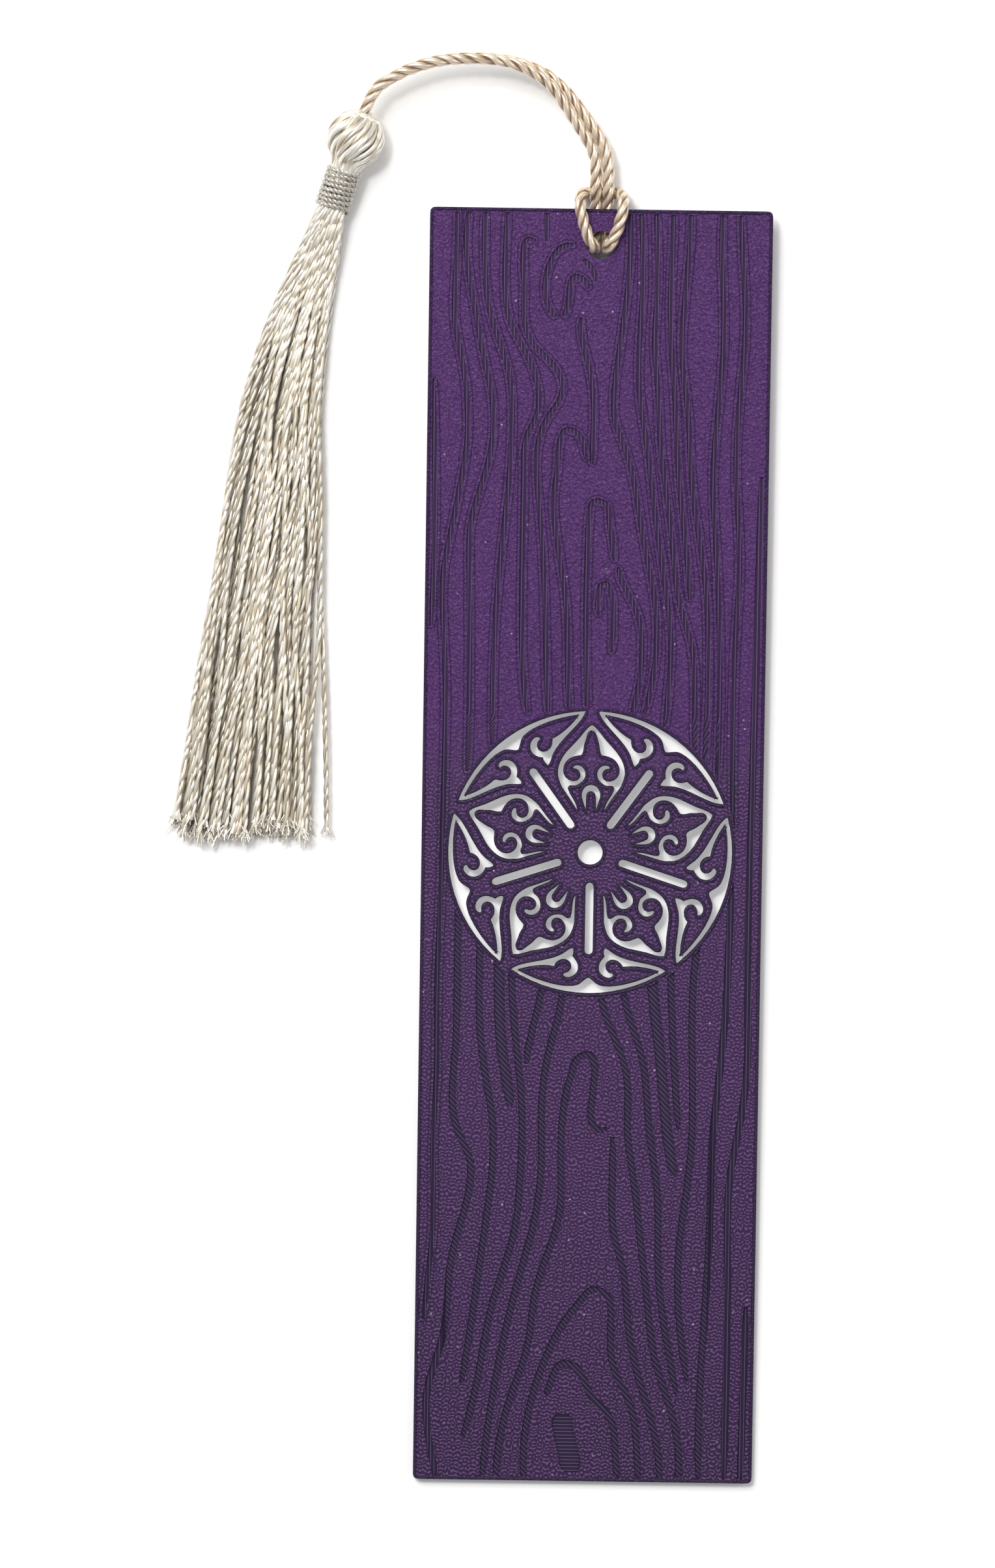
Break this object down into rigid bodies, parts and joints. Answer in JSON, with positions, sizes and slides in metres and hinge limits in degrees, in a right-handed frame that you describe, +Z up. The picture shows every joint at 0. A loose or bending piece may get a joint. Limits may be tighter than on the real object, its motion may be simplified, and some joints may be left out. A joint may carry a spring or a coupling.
{
  "type": "bookmark",
  "caption": "Thin flat bookmark with wood-grain grooves, a pierced round rosette and a thread tassel on a looped cord that is hitched through a hole in its top edge.",
  "frame": {"origin": "on the table, under the middle of the plate's width and length", "axes": "+Y from the plate's foot to the end with the cord, +Z up from the table, +X to the right when the front is seen from above"},
  "size_m": [0.0697, 0.1681, 0.0069],
  "materials": {
    "plate_plastic": "fine grained print-bed texture",
    "cord_silk": "silky twisted cord",
    "tassel_silk": "silky twisted thread"
  },
  "bodies": {
    "plate_body": {"plate": "plate_plastic", "cord_hitch": "cord_silk"},
    "cord_lower": {"cord_leg_left_lower": "cord_silk", "cord_leg_right_lower": "cord_silk"},
    "cord_upper": {"cord_leg_left_upper": "cord_silk", "cord_leg_right_upper": "cord_silk"},
    "tassel": {"cord_knot": "cord_silk", "head_threads": "tassel_silk", "neck_binding": "tassel_silk", "skirt_threads_lower": "tassel_silk", "skirt_threads_middle": "tassel_silk", "skirt_threads_upper": "tassel_silk"}
  },
  "joints": [
    {"name": "cord_flip", "type": "hinge", "parent": "plate_body", "child": "cord_lower", "pos_m": [0, 0.07959, 0.00284], "axis": [0, 1, 0], "range_deg": [0, 165]},
    {"name": "cord_bend", "type": "hinge", "parent": "cord_lower", "child": "cord_upper", "pos_m": [-0.0145, 0.0924, 0.0042], "axis": [0, 0, 1], "range_deg": [-60, 2]},
    {"name": "tassel_swing", "type": "hinge", "parent": "cord_upper", "child": "tassel", "pos_m": [-0.02754, 0.08695, 0.00397], "axis": [0, 0, 1], "range_deg": [-60, 3]}
  ]
}
